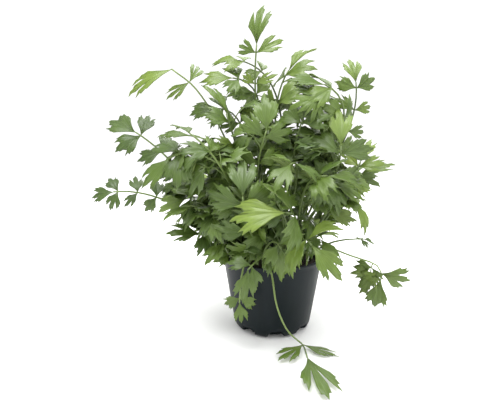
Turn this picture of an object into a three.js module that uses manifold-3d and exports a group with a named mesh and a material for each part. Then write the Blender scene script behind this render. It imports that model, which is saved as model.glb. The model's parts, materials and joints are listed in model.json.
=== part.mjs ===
// Potted lovage: a clump of young lovage, Levisticum officinale, in a round black nursery pot.
//
// Units are millimetres, +Z is up, the front is towards -Y, and the origin is the middle of the
// pot's underside. The pot and the soil are turned solids. Every frond is one solid: a tapered leaf
// stalk that stands in its own hole in the soil, with lobed leaflets fused to it, three at the end
// and the rest in pairs below. A frond that would cross another is bent clear of it.

import * as THREE from "three";
import { mergeVertices } from "three/addons/utils/BufferGeometryUtils.js";
import Module from "manifold-3d";

const wasm = await Module();
wasm.setup();

// ---------------------------------------------------------------------------------------------
// Driving dimensions
// ---------------------------------------------------------------------------------------------

const POT_HEIGHT = 90;
const RIM_RADIUS = 61.5;
const LIP = { height: 3, proud: 0.8 }; // the thickened edge round the mouth
const WALL = 1.4;
const HEEL = { radius: 47.3, height: 9.5 }; // where the wall turns in to the foot
const FOOT = { outer: 37.5, inner: 31 }; // the flat ring that the pot stands on
const SEAT_RADIUS = 13; // the flat spot in the middle of the underside
const UNDERCUT = 2.5; // height of the underside between seat and foot
const FLOOR_TOP = 4.1;
const POT_SIDES = 32;

const DRAIN_NOTCHES = { count: 8, firstAngle: -83, height: 9, width: 21, topWidth: 12, from: 34 };
const DRAIN_HOLES = { count: 8, circle: 22, radius: 3, sides: 6 };

const GAP = 0.4; // left between touching pieces
const SOIL = { edge: 79, top: 82, sides: 18 };

const STEM = { sides: 4, rootRadius: 2.2, endRadius: 1, sunk: 8, stub: 2, step: 38 };
const STEM_HOLE = { radius: 3.7, depth: 9 };
const SITES = { count: 56, radius: 47 }; // where stalks may rise from the soil
const GOLDEN_ANGLE = 137.508; // degrees, the turn between one site and the next

const BLADE_THICKNESS = 0.7;
const CLEARANCE = 0.8; // kept between one frond and the next
const TRIES = 150; // different bends tried for a frond before it is left out
const MOST_BENT = { place: 16, sway: 26, turn: 28, after: 60 }; // in mm and degrees, and by which try

// Stalks that leave the clump run through these points on their way to the end leaflets.
const TRAILING = [
  [-5, -58, 103],
  [0, -69, 84],
  [5, -70, 52],
  [16, -68, 24],
  [29, -63, 8],
  [35, -67, 4.4],
];
const HANGING = [
  [-27, -57, 103],
  [-33, -67, 84],
];
const LEANING = [
  [50, -32, 110],
  [90, -31, 97],
  [116, -30, 88],
  [124, -30, 80],
];
const ARCHING = [
  [-24, -8, 150],
  [-60, -10, 238],
  [-88, -10, 284],
];
const ARCH_LEAVES = { slim: 0.62, pairAt: 0.4, pairSize: 0.6, pairSpread: 75 };
const GROUND_LEAVES = { flat: true, slim: 0.7, pairAt: 0.5, pairSize: 0.62, pairSpread: 52 };

// Fronds that were placed one by one: [x, y, z] is the joint of the end leaflets, azimuth and pitch
// are the way the end leaflet points, in degrees, roll turns its face about that, size is its length
// and pairs is how many pairs of leaflets follow below the first pair. Some have settings of their
// own: along is the way of a trailing stalk, flat leaflets lie on the ground, slim narrows them,
// pairAt, pairSize and pairSpread stand in for the first three of PAIRS, and young ones are paler.
const SET_FRONDS = [
  { at: [41, -95, 4], azimuth: -76, pitch: 0, roll: 0, size: 68, pairs: 0, along: TRAILING, ...GROUND_LEAVES },
  { at: [-35, -74, 56], azimuth: -70, pitch: -62, roll: 10, size: 26, pairs: 0, along: HANGING },
  { at: [14, -112, 160], azimuth: -165, pitch: 12, roll: -55, size: 60, pairs: 0, young: true },
  { at: [30, -108, 140], azimuth: -25, pitch: -12, roll: 45, size: 50, pairs: 0 },
  { at: [-30, -90, 174], azimuth: 95, pitch: 66, roll: 0, size: 52, pairs: 2 },
  { at: [18, -99, 120], azimuth: -80, pitch: -52, roll: 0, size: 36, pairs: 1 },
  { at: [-12, -94, 112], azimuth: -110, pitch: -50, roll: 0, size: 32, pairs: 1 },
  { at: [-43, -62, 122], azimuth: -139, pitch: -22, roll: 0, size: 38, pairs: 1 },
  { at: [50, -66, 122], azimuth: -50, pitch: -36, roll: 0, size: 38, pairs: 1 },
  { at: [-20, 0, 334], azimuth: 60, pitch: 80, roll: 0, size: 50, pairs: 2, slim: 0.75, pairSize: 0.64 },
  { at: [-116, -10, 307], azimuth: -170, pitch: -16, roll: -40, size: 62, pairs: 0, along: ARCHING, ...ARCH_LEAVES },
  { at: [-164, 0, 236], azimuth: 172, pitch: 30, roll: -50, size: 44, pairs: 2 },
  { at: [-107, -60, 211], azimuth: -160, pitch: -34, roll: -30, size: 54, pairs: 1 },
  { at: [-187, -20, 167], azimuth: -172, pitch: -6, roll: -55, size: 32, pairs: 2 },
  { at: [-52, -20, 259], azimuth: 160, pitch: 66, roll: 0, size: 48, pairs: 2 },
  { at: [-46, 10, 297], azimuth: -170, pitch: 4, roll: -50, size: 40, pairs: 2 },
  { at: [95, 10, 293], azimuth: 180, pitch: 82, roll: -80, size: 36, pairs: 2 },
  { at: [125, -30, 69], azimuth: 170, pitch: -80, roll: -78, size: 42, pairs: 0, along: LEANING },
  { at: [110, 0, 108], azimuth: 4, pitch: -8, roll: 20, size: 18, pairs: 0 },
  { at: [69, -60, 222], azimuth: 88, pitch: 72, roll: 0, size: 46, pairs: 2, young: true },
  { at: [56, -74, 192], azimuth: -5, pitch: 6, roll: 25, size: 50, pairs: 0 },
  { at: [76, -50, 176], azimuth: -45, pitch: -40, roll: 0, size: 42, pairs: 1 },
  { at: [24, -88, 204], azimuth: -120, pitch: -15, roll: 0, size: 42, pairs: 1 },
  { at: [34, -44, 246], azimuth: 70, pitch: 62, roll: 0, size: 40, pairs: 2 },
  { at: [-76, -46, 122], azimuth: -165, pitch: 4, roll: -40, size: 38, pairs: 1 },
  { at: [16, 10, 307], azimuth: 25, pitch: 46, roll: 10, size: 48, pairs: 2 },
  { at: [57, -30, 280], azimuth: -165, pitch: 32, roll: -25, size: 50, pairs: 2 },
  { at: [4, -50, 241], azimuth: 120, pitch: 62, roll: 0, size: 42, pairs: 2 },
  { at: [-14, -76, 206], azimuth: -150, pitch: 46, roll: 30, size: 42, pairs: 1 },
  { at: [-90, -60, 154], azimuth: -140, pitch: -8, roll: 0, size: 42, pairs: 1 },
  { at: [-70, -70, 186], azimuth: 170, pitch: 40, roll: 0, size: 44, pairs: 1 },
  { at: [-40, -10, 272], azimuth: -130, pitch: 30, roll: 20, size: 40, pairs: 1 },
  { at: [80, 0, 234], azimuth: 20, pitch: 20, roll: 30, size: 40, pairs: 1 },
  { at: [-98, -44, 221], azimuth: 140, pitch: 50, roll: 0, size: 42, pairs: 1 },
  { at: [-94, -50, 162], azimuth: 175, pitch: 24, roll: -40, size: 44, pairs: 1 },
  { at: [-78, -58, 140], azimuth: 178, pitch: -4, roll: -45, size: 44, pairs: 1 },
  { at: [-62, -52, 114], azimuth: -150, pitch: -18, roll: -30, size: 38, pairs: 1 },
  { at: [6, 20, 302], azimuth: 85, pitch: 60, roll: 0, size: 42, pairs: 1 },
  { at: [102, 0, 202], azimuth: 40, pitch: 62, roll: 20, size: 36, pairs: 1 },
  { at: [-93, -20, 166], azimuth: -176, pitch: -14, roll: -55, size: 42, pairs: 1 },
  { at: [-62, 4, 268], azimuth: 178, pitch: 8, roll: -55, size: 38, pairs: 1 },
  { at: [-31, 16, 306], azimuth: 176, pitch: 14, roll: -50, size: 36, pairs: 1 },
];

// The rest of the clump fills a dome by rule, from the middle outwards.
const FILL = {
  count: 12,
  centre: [-8, 18, 96],
  reach: { up: 208, out: 100 },
  firstPolar: 11,
  lastPolar: 88,
  front: { azimuth: -90, spread: 56 }, // the set fronds already fill this sector
};

// One half of a leaflet's edge, as [along, across] shares of its length: shoulder, side lobe and the
// cut beside the end lobe. The other half mirrors it, and the end lobe's point is at [1, 0].
const SHOULDER_ALONG = 0.47;
const LOBE = { along: 0.81, width: 0.84 }; // its width, and the sinus's, are shares of the shoulder's
const SINUS_WIDTH = 0.3;
const RIB_ALONG = 0.56;
const ROOT_INSET = 0.4; // how far a leaflet starts inside its stalk

const COLOURS = {
  pot: { color: 0x2b2f33, roughness: 0.45 },
  soil: { color: 0x2e241b, roughness: 1.0 },
  leaf: { color: 0x5d8438, roughness: 0.5 },
  young_leaf: { color: 0x8cae45, roughness: 0.5 },
};

// Leaflet pairs below the end one: places and sizes as shares of the end leaflet's length, and the
// angle between a leaflet and the stalk.
const PAIRS = { first: 0.18, spacing: 0.7, size: 0.84, shrink: 0.04, spread: 66 };

// ---------------------------------------------------------------------------------------------
// Helpers
// ---------------------------------------------------------------------------------------------

const degrees = THREE.MathUtils.degToRad;
const UP = new THREE.Vector3(0, 0, 1);
const vector = (xyz) => new THREE.Vector3(...xyz);

// Random numbers from 0 to 1 that are the same on every run.
function draws(seed) {
  let state = seed | 0;
  return () => {
    state = (state + 0x6d2b79f5) | 0;
    let t = Math.imul(state ^ (state >>> 15), 1 | state);
    t = (t + Math.imul(t ^ (t >>> 7), 61 | t)) ^ t;
    return ((t ^ (t >>> 14)) >>> 0) / 4294967296;
  };
}

// A direction from its compass azimuth (0 is +X, 90 is +Y) and its pitch above the horizon.
function direction(azimuth, pitch) {
  const [a, p] = [degrees(azimuth), degrees(pitch)];
  return new THREE.Vector3(Math.cos(a) * Math.cos(p), Math.sin(a) * Math.cos(p), Math.sin(p));
}

// v without its part along axis, at unit length.
const squaredTo = (axis, v) => v.clone().addScaledVector(axis, -v.dot(axis)).normalize();

// A closed three.js geometry as a manifold-3d solid.
function solid(geometry) {
  const bare = new THREE.BufferGeometry().setAttribute("position", geometry.getAttribute("position"));
  if (geometry.index) bare.setIndex(geometry.index);
  const merged = mergeVertices(bare, 1e-4);
  return new wasm.Manifold(
    new wasm.Mesh({
      numProp: 3,
      vertProperties: merged.attributes.position.array,
      triVerts: new Uint32Array(merged.index.array),
    }),
  );
}

// A manifold-3d solid as a named mesh.
function meshOf(name, made, colour) {
  const { numProp, vertProperties, triVerts } = made.getMesh();
  const positions = new Float32Array((vertProperties.length / numProp) * 3);
  for (let i = 0; i * 3 < positions.length; i++) {
    positions.set(vertProperties.subarray(i * numProp, i * numProp + 3), i * 3);
  }
  const geometry = new THREE.BufferGeometry()
    .setAttribute("position", new THREE.BufferAttribute(positions, 3))
    .setIndex(new THREE.BufferAttribute(triVerts, 1));
  geometry.computeVertexNormals();
  const mesh = new THREE.Mesh(geometry, new THREE.MeshStandardMaterial({ metalness: 0, ...colour }));
  mesh.name = name;
  return mesh;
}

// A profile of [radius, height] points turned about the Z axis.
function turned(profile, sides) {
  const points = profile.map(([r, z]) => new THREE.Vector2(r, z));
  return solid(new THREE.LatheGeometry(points, sides).rotateX(Math.PI / 2));
}

// ---------------------------------------------------------------------------------------------
// Pot
// ---------------------------------------------------------------------------------------------

// The wall's outer radius at a height, on the straight stretch between heel and rim.
function wallRadius(z) {
  const share = (z - HEEL.height) / (POT_HEIGHT - HEEL.height);
  return HEEL.radius + share * (RIM_RADIUS - LIP.proud - HEEL.radius);
}

// A drain notch: a trapezoid that runs outwards under the heel, grown by a margin on every side.
function drainNotch(index, margin) {
  const { firstAngle, count, height, width, topWidth, from } = DRAIN_NOTCHES;
  const bottom = width / 2 + margin;
  const top = topWidth / 2 + margin;
  const outline = new THREE.Shape([
    new THREE.Vector2(-bottom, -5),
    new THREE.Vector2(bottom, -5),
    new THREE.Vector2(top, height + margin),
    new THREE.Vector2(-top, height + margin),
  ]);
  const depth = 20 + margin;
  const turn = new THREE.Matrix4().makeRotationZ(degrees(firstAngle + (360 / count) * index));
  // Across is +Y, up is +Z and the run is +X, before the notch is turned to its place.
  const frame = new THREE.Matrix4().makeBasis(new THREE.Vector3(0, 1, 0), UP, new THREE.Vector3(1, 0, 0));
  frame.setPosition(from - margin, 0, 0);
  const notch = new THREE.ExtrudeGeometry(outline, { depth, bevelEnabled: false });
  return solid(notch.applyMatrix4(turn.multiply(frame)));
}

function drainNotches(margin) {
  const notches = Array.from({ length: DRAIN_NOTCHES.count }, (_, i) => drainNotch(i, margin));
  return notches.reduce((all, notch) => all.add(notch));
}

function drainHole(index) {
  const { count, circle, radius, sides } = DRAIN_HOLES;
  const angle = degrees(DRAIN_NOTCHES.firstAngle + (360 / count) * (index + 0.5));
  const drill = new THREE.CylinderGeometry(radius, radius, 12, sides).rotateX(Math.PI / 2);
  return solid(drill.translate(circle * Math.cos(angle), circle * Math.sin(angle), FLOOR_TOP));
}

function potShell() {
  const heelRound = [
    [FOOT.outer + 3.9, 1.1],
    [HEEL.radius - 1.5, 4.2],
  ];
  const outside = [
    [0, 0],
    [SEAT_RADIUS, 0],
    [SEAT_RADIUS + 2, UNDERCUT],
    [FOOT.inner - 2, UNDERCUT],
    [FOOT.inner, 0],
    [FOOT.outer, 0],
    ...heelRound,
    [HEEL.radius, HEEL.height],
    [wallRadius(POT_HEIGHT - LIP.height), POT_HEIGHT - LIP.height],
    [RIM_RADIUS, POT_HEIGHT - LIP.height + 0.6],
    [RIM_RADIUS, POT_HEIGHT],
    [0, POT_HEIGHT],
  ];
  const body = turned(outside, POT_SIDES).subtract(drainNotches(0));
  const top = POT_HEIGHT + 5;
  const inside = [...cavityProfile(0), [wallRadius(top) - WALL, top], [0, top]];
  const cavity = turned(inside, POT_SIDES).subtract(drainNotches(WALL));
  const holes = Array.from({ length: DRAIN_HOLES.count }, (_, i) => drainHole(i));
  return holes.reduce((shell, hole) => shell.subtract(hole), body.subtract(cavity));
}

// The lower part of the pot's inside, drawn in by a margin.
function cavityProfile(margin) {
  return [
    [0, FLOOR_TOP + margin],
    [FOOT.outer + 1.6 - margin, FLOOR_TOP + margin],
    [HEEL.radius - WALL - 1.5 - margin, FLOOR_TOP + 2.2 + margin],
    [HEEL.radius - WALL - margin, HEEL.height + margin],
  ];
}

// ---------------------------------------------------------------------------------------------
// Soil
// ---------------------------------------------------------------------------------------------

function soilBed(holes) {
  const profile = [
    ...cavityProfile(GAP),
    [wallRadius(SOIL.edge) - WALL - GAP, SOIL.edge],
    [SITES.radius * 0.7, SOIL.top],
    [0, SOIL.top],
  ];
  const bed = turned(profile, SOIL.sides).subtract(drainNotches(WALL + GAP));
  return holes.reduce((soil, [x, y]) => soil.subtract(stemHole(x, y)), bed);
}

function stemHole(x, y) {
  const { radius, depth } = STEM_HOLE;
  const drill = new THREE.CylinderGeometry(radius, radius, 2 * depth, STEM.sides);
  return solid(drill.rotateX(Math.PI / 2).translate(x, y, SOIL.top));
}

// ---------------------------------------------------------------------------------------------
// Where fronds stand and point
// ---------------------------------------------------------------------------------------------

// Every frond to be placed: those set one by one, then those that fill the dome.
function allFronds() {
  const fill = Array.from({ length: FILL.count }, (_, i) => fillFrond(i));
  return withSites([...SET_FRONDS, ...fill]);
}

function fillFrond(i) {
  const draw = draws(1000 + i);
  const share = (i + 0.5) / FILL.count;
  const polar = FILL.firstPolar + (FILL.lastPolar - FILL.firstPolar) * Math.sqrt(share);
  // The golden angle spreads the azimuths over the sectors that the set fronds leave.
  const turn = (((i * GOLDEN_ANGLE) % 360) / 360) * (360 - 2 * FILL.front.spread);
  const azimuth = FILL.front.azimuth + FILL.front.spread + turn;
  const shell = i % 3 === 2 ? 0.66 : 0.92 + 0.12 * draw();
  const up = FILL.reach.up * Math.cos(degrees(polar));
  const out = FILL.reach.out * Math.sin(degrees(polar));
  const reach = shell * Math.hypot(up, out);
  const at = direction(azimuth, 90 - polar).multiplyScalar(reach).add(vector(FILL.centre));
  return {
    at: at.toArray(),
    azimuth: azimuth + 30 * (draw() - 0.5),
    pitch: 58 - 0.85 * polar + 20 * (draw() - 0.5),
    roll: 50 * (draw() - 0.5),
    size: 40 + 12 * draw(),
    pairs: 1 + (i % 2),
    give: 1.5,
    young: i % 6 === 2,
  };
}

// Gives each frond the free site in the soil that is nearest below it: upright ones stand in the
// middle, and those that lean or trail stand near the edge.
function withSites(fronds) {
  const free = Array.from({ length: SITES.count }, (_, k) => {
    const r = SITES.radius * Math.sqrt((k + 0.5) / SITES.count);
    const a = degrees(k * GOLDEN_ANGLE);
    return new THREE.Vector2(r * Math.cos(a), r * Math.sin(a));
  });
  return fronds.map((frond) => {
    const [x, y, z] = frond.at;
    const lean = Math.min(1, (1.1 * Math.hypot(x, y)) / (Math.max(0, z - SOIL.top) + 60));
    const wish = new THREE.Vector2(x, y).setLength(SITES.radius * lean);
    const nearest = free.reduce((a, b) => (b.distanceTo(wish) < a.distanceTo(wish) ? b : a));
    free.splice(free.indexOf(nearest), 1);
    return { ...frond, site: nearest, lean };
  });
}

// A frond bent a little from where it should be, and further with each attempt. The first try isn't
// bent at all.
function bent(frond, index, attempt) {
  if (attempt === 0) return frond;
  const draw = draws(index * 1000 + attempt);
  const amount = Math.min(1, 0.15 + attempt / MOST_BENT.after) * (frond.give ?? 1);
  const swing = (most) => most * amount * (2 * draw() - 1);
  const [x, y, z] = frond.at;
  return {
    ...frond,
    at: [x + swing(MOST_BENT.place), y + swing(MOST_BENT.place), z + swing(MOST_BENT.place)],
    sway: [swing(MOST_BENT.sway), swing(MOST_BENT.sway), 0],
    azimuth: frond.azimuth + swing(MOST_BENT.turn),
    pitch: frond.pitch + swing(MOST_BENT.turn),
    roll: frond.roll + swing(MOST_BENT.turn),
  };
}

// ---------------------------------------------------------------------------------------------
// The plan of one frond: its stalk's path and its leaflets
// ---------------------------------------------------------------------------------------------

// The stalk's centre line, from the soil to the joint of the end leaflets.
function stalkCurve(frond) {
  const start = new THREE.Vector3(frond.site.x, frond.site.y, SOIL.top + STEM.stub);
  const end = vector(frond.at);
  if (frond.along) {
    return new THREE.CatmullRomCurve3([start, ...frond.along.map(vector), end], false, "catmullrom", 0.5);
  }
  const span = start.distanceTo(end);
  const outwards = degrees(38 * frond.lean);
  const side = new THREE.Vector3(end.x - start.x, end.y - start.y, 0).normalize();
  const rise = UP.clone().multiplyScalar(Math.cos(outwards)).addScaledVector(side, Math.sin(outwards));
  const heading = direction(frond.azimuth, frond.pitch);
  const sway = vector(frond.sway ?? [0, 0, 0]);
  return new THREE.CubicBezierCurve3(
    start,
    start.clone().addScaledVector(rise, 0.4 * span).add(sway),
    end.clone().addScaledVector(heading, -0.3 * span).add(sway),
    end,
  );
}

// The stalk bends at every joint where leaflets grow, and evenly below them.
function planOf(frond, index) {
  const curve = stalkCurve(frond);
  const length = curve.getLength();
  const pairJoints = Array.from({ length: frond.pairs + 1 }, (_, pair) => {
    const distance = frond.size * ((frond.pairAt ?? PAIRS.first) + PAIRS.spacing * pair);
    return Math.max(0.25, 1 - distance / length);
  });
  const lowest = Math.min(...pairJoints);
  const bends = Math.max(2, Math.round((length * lowest) / STEM.step));
  const bare = Array.from({ length: bends }, (_, i) => (lowest * i) / bends);
  const path = [...bare, ...pairJoints.toReversed(), 1].map((share) => curve.getPointAt(share));
  return { path, leaflets: leafletsOf(frond, index, curve, pairJoints) };
}

// Three leaflets at the end and the pairs below it, each with its root, axis, face and shape.
function leafletsOf(frond, index, curve, pairJoints) {
  const draw = draws(index + 1);
  const between = (low, high) => low + (high - low) * draw();
  const end = direction(frond.azimuth, frond.pitch);
  const face = direction(frond.azimuth, frond.pitch + 90).applyAxisAngle(end, degrees(frond.roll));
  const leaflets = [];
  const loose = frond.flat ? 0.05 : 1; // a frond that lies on the ground is nearly flat
  const add = (root, tangent, side, spread, size) => {
    const normal = squaredTo(tangent, face);
    const across = normal.clone().cross(tangent);
    const turn = degrees(side * (spread + between(-9, 9)));
    const axis = tangent.clone().multiplyScalar(Math.cos(turn)).addScaledVector(across, Math.sin(turn));
    axis.addScaledVector(normal, loose * between(-0.2, 0.22)).normalize();
    leaflets.push({
      root,
      axis,
      face: squaredTo(axis, normal),
      length: size * between(0.88, 1.1),
      width: between(0.27, 0.39) * (frond.slim ?? 1),
      cut: between(0.14, 0.26),
      bend: loose * between(0.25, 0.85),
      fold: loose * between(-0.12, 0.3),
    });
  };
  add(curve.getPoint(1), end, 0, 0, frond.size);
  const spread = frond.pairSpread ?? PAIRS.spread;
  pairJoints.forEach((share, pair) => {
    const size = frond.size * ((frond.pairSize ?? PAIRS.size) - PAIRS.shrink * pair);
    for (const side of [-1, 1]) {
      add(curve.getPointAt(share), curve.getTangentAt(share), side, spread, size);
    }
  });
  return leaflets;
}

// ---------------------------------------------------------------------------------------------
// The solids of one frond
// ---------------------------------------------------------------------------------------------

// A stalk with a straight stub in the soil and a taper to its end. The rings of a closed cylinder
// are moved on to the path.
function stalk(path, grown = 0, withStub = true) {
  const foot = path[0].clone().setZ(SOIL.top - STEM.sunk);
  const points = withStub ? [foot, ...path] : path;
  const steps = points.length - 1;
  const tube = new THREE.CylinderGeometry(1, 1, steps, STEM.sides, steps).translate(0, steps / 2, 0);
  const places = tube.getAttribute("position");
  const across = squaredTo(points[1].clone().sub(points[0]).normalize(), new THREE.Vector3(1, 0, 0));
  const rings = points.map((centre, i) => {
    const along = points[Math.min(i + 1, steps)].clone().sub(points[Math.max(i - 1, 0)]).normalize();
    across.copy(squaredTo(along, across));
    const taper = Math.max(0, i - 1) / (steps - 1);
    const radius = THREE.MathUtils.lerp(STEM.rootRadius, STEM.endRadius, taper) + grown;
    const x = across.clone().multiplyScalar(radius);
    return { centre, x, y: along.clone().cross(x) };
  });
  for (let i = 0; i < places.count; i++) {
    const { centre, x, y } = rings[Math.round(places.getY(i))];
    const p = centre.clone().addScaledVector(x, places.getZ(i)).addScaledVector(y, places.getX(i));
    places.setXYZ(i, p.x, p.y, p.z);
  }
  return solid(tube);
}

// A leaflet's outline as [along, across] shares of its length, with the rib's middle last.
function leafletOutline({ width, cut }) {
  const half = [
    [SHOULDER_ALONG, width],
    [LOBE.along, LOBE.width * width],
    [LOBE.along - cut, SINUS_WIDTH * width],
  ];
  const mirrored = half.map(([u, v]) => [u, -v]).reverse();
  return [[0, 0], ...half, [1, 0], ...mirrored, [RIB_ALONG, 0]];
}

// The faces of that outline: 0 is the root, 4 the point, 8 the rib's middle.
const LEAFLET_FACES = [
  [0, 7, 1],
  [7, 8, 1],
  [1, 8, 3],
  [1, 3, 2],
  [3, 8, 4],
  [4, 8, 5],
  [5, 8, 7],
  [5, 7, 6],
];
const LEAFLET_EDGE = 8;

// A thin lobed blade that arches along its rib and folds across it.
function leaflet(shape, thickness = BLADE_THICKNESS) {
  const { root, axis, face, length, bend, fold } = shape;
  const across = face.clone().cross(axis);
  const outline = leafletOutline(shape);
  const start = root.clone().addScaledVector(axis, -ROOT_INSET);
  const layer = (lift) =>
    outline.map(([u, v]) => {
      const normal = face.clone().multiplyScalar(Math.cos(bend * u));
      normal.addScaledVector(axis, Math.sin(bend * u));
      return start
        .clone()
        .addScaledVector(axis, (length * Math.sin(bend * u)) / bend)
        .addScaledVector(face, (-length * (1 - Math.cos(bend * u))) / bend)
        .addScaledVector(across, length * v * Math.cos(fold))
        .addScaledVector(normal, length * Math.abs(v) * Math.sin(fold) + lift);
    });
  const vertices = [...layer(thickness / 2), ...layer(-thickness / 2)];
  const below = outline.length;
  const faces = LEAFLET_FACES.flatMap(([a, b, c]) => [a, b, c, a + below, c + below, b + below]);
  for (let i = 0; i < LEAFLET_EDGE; i++) {
    const next = (i + 1) % LEAFLET_EDGE;
    faces.push(i, next, i + below, next, next + below, i + below);
  }
  const geometry = new THREE.BufferGeometry().setFromPoints(vertices).setIndex(faces);
  const made = solid(geometry);
  if (made.volume() < 0) throw new Error("a leaflet is inside out");
  return made;
}

// The frond's own solid. Scraps that fusing cuts loose are dropped.
function frondSolid(plan) {
  const fused = plan.leaflets.reduce((all, shape) => all.add(leaflet(shape)), stalk(plan.path));
  return fused.decompose().reduce((a, b) => (b.volume() > a.volume() ? b : a));
}

// ---------------------------------------------------------------------------------------------
// Placing the fronds clear of each other
// ---------------------------------------------------------------------------------------------

const withBox = (made) => ({ made, box: made.boundingBox() });
const boxesMeet = (a, b) => [0, 1, 2].every((i) => a.min[i] <= b.max[i] && b.min[i] <= a.max[i]);
const meets = (a, b) => boxesMeet(a.box, b.box) && !a.made.intersect(b.made).isEmpty();
const aboveFloor = (piece) => piece.box.min[2] + CLEARANCE > 0.1;

// The pieces of a frond above the soil, grown by a margin.
function piecesOf(plan, margin) {
  const leaflets = plan.leaflets.map((shape) => withBox(leaflet(shape, BLADE_THICKNESS + 2 * margin)));
  return { leaflets, stalk: withBox(stalk(plan.path, margin, false)) };
}

function isClear(plan, obstacles) {
  const { leaflets, stalk: stem } = piecesOf(plan, CLEARANCE);
  const { pot, soil, fronds } = obstacles;
  if (![...leaflets, stem].every(aboveFloor)) return false;
  if (leaflets.some((piece) => meets(piece, soil))) return false;
  if ([...leaflets, stem].some((piece) => meets(piece, pot))) return false;
  return ![...leaflets, stem].some((piece) => fronds.some((other) => meets(piece, other)));
}

function placeFronds(pot, soil) {
  const obstacles = { pot: withBox(pot), soil: withBox(soil), fronds: [] };
  const placed = [];
  allFronds().forEach((frond, index) => {
    for (let attempt = 0; attempt < TRIES; attempt++) {
      const plan = planOf(bent(frond, index, attempt), index);
      if (!isClear(plan, obstacles)) continue;
      const { leaflets, stalk: stem } = piecesOf(plan, 0);
      obstacles.fronds.push(...leaflets, stem);
      placed.push({ index, plan, site: frond.site, young: frond.young });
      return;
    }
  });
  return placed;
}

// ---------------------------------------------------------------------------------------------
// The object
// ---------------------------------------------------------------------------------------------

const pot = potShell();
const fronds = placeFronds(pot, soilBed([]));
const soil = soilBed(fronds.map(({ site }) => [site.x, site.y]));

const lovage = new THREE.Group();
lovage.name = "potted_lovage";
lovage.add(meshOf("pot", pot, COLOURS.pot), meshOf("soil", soil, COLOURS.soil));
for (const { index, plan, young } of fronds) {
  const name = `frond_${String(index + 1).padStart(2, "0")}`;
  lovage.add(meshOf(name, frondSolid(plan), young ? COLOURS.young_leaf : COLOURS.leaf));
}

export default lovage;
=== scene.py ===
# %% [markdown]
# Potted lovage
#
# Lovage is a tall kitchen herb. A young plant sends up a clump of slim stalks, each ending in a few
# glossy, lobed leaflets. This one stands in a black nursery pot 123 mm across. The frame holds the
# plain solids: the pot, the compost and one solid for each frond. The cells below dress them.

# %% Load the frame
import json
import math

import bmesh
import bpy
from mathutils import Matrix, Vector, noise


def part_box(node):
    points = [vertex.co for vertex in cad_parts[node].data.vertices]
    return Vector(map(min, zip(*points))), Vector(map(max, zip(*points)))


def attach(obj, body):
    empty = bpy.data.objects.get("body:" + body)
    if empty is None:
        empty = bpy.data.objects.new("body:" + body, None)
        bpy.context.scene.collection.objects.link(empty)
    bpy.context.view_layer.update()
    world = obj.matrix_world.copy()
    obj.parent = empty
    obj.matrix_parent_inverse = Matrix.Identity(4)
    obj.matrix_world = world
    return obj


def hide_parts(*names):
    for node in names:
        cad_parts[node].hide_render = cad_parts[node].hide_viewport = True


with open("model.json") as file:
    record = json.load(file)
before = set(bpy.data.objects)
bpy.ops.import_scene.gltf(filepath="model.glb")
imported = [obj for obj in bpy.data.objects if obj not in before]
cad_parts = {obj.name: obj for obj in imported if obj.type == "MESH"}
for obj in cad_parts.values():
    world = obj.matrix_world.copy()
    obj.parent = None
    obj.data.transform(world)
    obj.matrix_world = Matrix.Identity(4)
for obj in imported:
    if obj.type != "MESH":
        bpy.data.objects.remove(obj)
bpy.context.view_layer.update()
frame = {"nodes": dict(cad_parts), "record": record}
MM = 0.001  # the cells below work in millimetres and scale each finished mesh to metres
frond_names = sorted(name for name in frame["nodes"] if name.startswith("frond_"))
print("fronds in the frame:", len(frond_names))

# %% [markdown]
# The camera
#
# A product picture of a small plant is taken from a little above the rim of the pot, about half a
# metre away. The whole clump then fills the picture. A constraint could aim the camera at the plant,
# but two plain angles are easier to set exactly.

# %% Camera
CAMERA_PLACE = (0.0, -0.517, 0.243)
CAMERA_TURN = 3.05  # degrees to the left
CAMERA_TILT = 9.6  # degrees down
CAMERA_LENS = 31.4  # mm, on a sensor 36 mm wide

camera_data = bpy.data.cameras.new("camera")
camera_data.sensor_width = 36
camera_data.lens = CAMERA_LENS
camera = bpy.data.objects.new("camera", camera_data)
camera.location = CAMERA_PLACE
camera.rotation_euler = (math.radians(90 - CAMERA_TILT), 0, math.radians(CAMERA_TURN))
bpy.context.scene.collection.objects.link(camera)
bpy.context.scene.camera = camera
print("camera at", CAMERA_PLACE)

# %% [markdown]
# Colours and shader nodes
#
# Colours are picked as sRGB hex values, the way they read on a screen, but a renderer adds light in
# linear values. One function turns the first into the second. Nodes are often joined up by hand in
# the shader editor. In a script, small functions add them, so that each material below reads as a
# short list of steps.

# %% Colour and node helpers
def linear(hex_colour):
    """An sRGB hex colour such as 5d8438 as linear RGBA."""
    channels = [int(hex_colour[i : i + 2], 16) / 255 for i in (0, 2, 4)]
    return [c / 12.92 if c <= 0.04045 else ((c + 0.055) / 1.055) ** 2.4 for c in channels] + [1.0]


def node(tree, kind, settings=None, **inputs):
    """Adds a node, with values or sockets for its inputs: by name, with _ for a space, or as i0, i1."""
    made = tree.nodes.new(kind)
    for key, value in (settings or {}).items():
        setattr(made, key, value)
    for key, value in inputs.items():
        numbered = key[0] == "i" and key[1:].isdigit()
        socket = made.inputs[int(key[1:]) if numbered else key.replace("_", " ")]
        if isinstance(value, bpy.types.NodeSocket):
            tree.links.new(value, socket)
        else:
            socket.default_value = value
    return made


def new_material(name):
    """A material with an empty node tree, and that tree."""
    made = bpy.data.materials.new(name)
    made.use_nodes = True
    made.node_tree.nodes.clear()
    return made, made.node_tree


def ramp(tree, factor, *stops):
    """A colour ramp over (position, hex colour) stops."""
    made = node(tree, "ShaderNodeValToRGB", Fac=factor)
    elements = made.color_ramp.elements
    while len(elements) < len(stops):
        elements.new(0.5)
    for element, (position, colour) in zip(elements, stops):
        element.position = position
        element.color = linear(colour)
    return made.outputs["Color"]


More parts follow.
